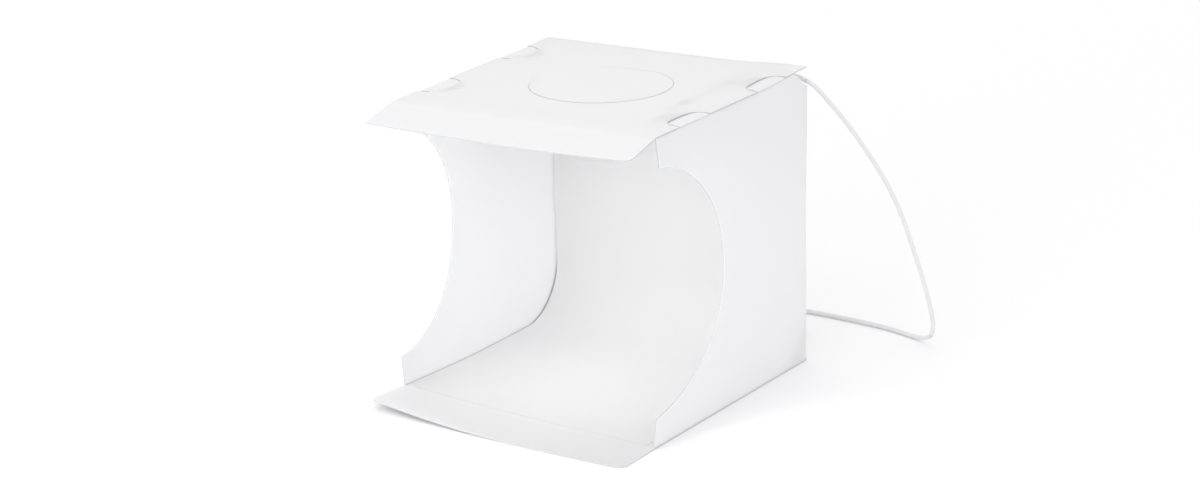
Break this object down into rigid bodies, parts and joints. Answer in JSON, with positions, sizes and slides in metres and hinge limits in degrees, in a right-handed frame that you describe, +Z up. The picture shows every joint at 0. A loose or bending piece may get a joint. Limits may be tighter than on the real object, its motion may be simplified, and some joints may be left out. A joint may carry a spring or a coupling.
{
  "type": "light tent cube",
  "caption": "Folding white sheet-plastic photo box with an open front, half-round cuts in its side walls, a curved backdrop, a top hatch, a light bar and a USB lead.",
  "frame": {"origin": "on the resting surface, under the middle of the box with its lip, cord left out", "axes": "+Z up, the open front faces -Y, +X to the right seen from the front"},
  "size_m": [0.3193, 0.3744, 0.24],
  "materials": {
    "white_polypropylene": "satin white sheet",
    "white_backdrop": "matt white sheet",
    "adhesive_tape": "matt double-sided tape",
    "board_white": "white coated circuit board",
    "led_phosphor": "yellow phosphor in a white rim",
    "chip_black": "matt black",
    "white_cord": "soft white jacket",
    "core_red": "red insulation",
    "core_black": "black insulation",
    "solder": "bright solder",
    "white_moulding": "smooth white moulding",
    "rocker_grey": "light grey moulding",
    "brass": "bare brass",
    "plated_steel": "nickel plated"
  },
  "bodies": {
    "back": {"back_panel": "white_polypropylene", "lead_bend": "white_cord", "power_cord": "white_cord", "cord_coil": "white_cord", "cord_to_switch": "white_cord", "cord_to_plug": "white_cord", "switch_lower_shell": "white_moulding", "switch_upper_shell": "white_moulding", "switch_sleeve_in": "white_cord", "switch_sleeve_out": "white_cord", "switch_contact_in": "brass", "switch_contact_out": "brass", "plug_grip": "white_moulding", "plug_shell": "plated_steel", "plug_tongue": "chip_black", "plug_contact_power": "brass", "plug_contact_ground": "brass"},
    "floor": {"floor_panel": "white_polypropylene"},
    "left_wall": {"left_side_wall": "white_polypropylene"},
    "right_wall": {"right_side_wall": "white_polypropylene"},
    "top": {"top_panel": "white_polypropylene", "led_board_tape": "adhesive_tape", "led_board": "board_white", "led_01": "led_phosphor", "led_02": "led_phosphor", "led_03": "led_phosphor", "led_04": "led_phosphor", "led_05": "led_phosphor", "led_06": "led_phosphor", "led_07": "led_phosphor", "led_08": "led_phosphor", "led_09": "led_phosphor", "led_10": "led_phosphor", "led_11": "led_phosphor", "led_12": "led_phosphor", "led_13": "led_phosphor", "led_14": "led_phosphor", "led_15": "led_phosphor", "led_16": "led_phosphor", "led_17": "led_phosphor", "led_18": "led_phosphor", "led_19": "led_phosphor", "led_20": "led_phosphor", "led_resistor_1": "chip_black", "led_resistor_2": "chip_black", "led_resistor_3": "chip_black", "led_resistor_4": "chip_black", "lead_inner": "white_cord", "lead_clip_front": "white_moulding", "lead_clip_rear": "white_moulding", "lead_sleeve": "white_cord", "lead_core_plus": "core_red", "lead_core_minus": "core_black", "solder_plus": "solder", "solder_minus": "solder"},
    "flap": {"front_flap": "white_polypropylene"},
    "hatch": {"top_hatch": "white_polypropylene"},
    "backdrop": {"backdrop_sheet": "white_backdrop"},
    "rocker": {"switch_rocker": "rocker_grey"}
  },
  "joints": [
    {"name": "floor_fold", "type": "hinge", "parent": "back", "child": "floor", "pos_m": [0, 0.136, 0], "axis": [1, 0, 0], "range_deg": [0, 90]},
    {"name": "left_wall_fold", "type": "hinge", "parent": "back", "child": "left_wall", "pos_m": [-0.117, 0.136, 0.12], "axis": [0, 0, -1], "range_deg": [0, 90]},
    {"name": "right_wall_fold", "type": "hinge", "parent": "back", "child": "right_wall", "pos_m": [0.117, 0.136, 0.12], "axis": [0, 0, 1], "range_deg": [0, 90]},
    {"name": "top_fold", "type": "hinge", "parent": "back", "child": "top", "pos_m": [0, 0.136, 0.24], "axis": [-1, 0, 0], "range_deg": [0, 90], "deforming": ["lead_bend"]},
    {"name": "flap_fold", "type": "hinge", "parent": "top", "child": "flap", "pos_m": [0, -0.09, 0.24], "axis": [-1, 0, 0], "range_deg": [-76, 14]},
    {"name": "hatch_open", "type": "hinge", "parent": "top", "child": "hatch", "pos_m": [0, 0.0755, 0.24], "axis": [-1, 0, 0], "range_deg": [0, 160]},
    {"name": "backdrop_slide", "type": "slide", "parent": "back", "child": "backdrop", "axis": [0, -1, 0], "range_m": [0, 0.25]},
    {"name": "switch_rock", "type": "hinge", "parent": "back", "child": "rocker", "pos_m": [-0.026, 0.1875, 0.0114], "axis": [0, 1, 0], "range_deg": [0, 18]}
  ]
}
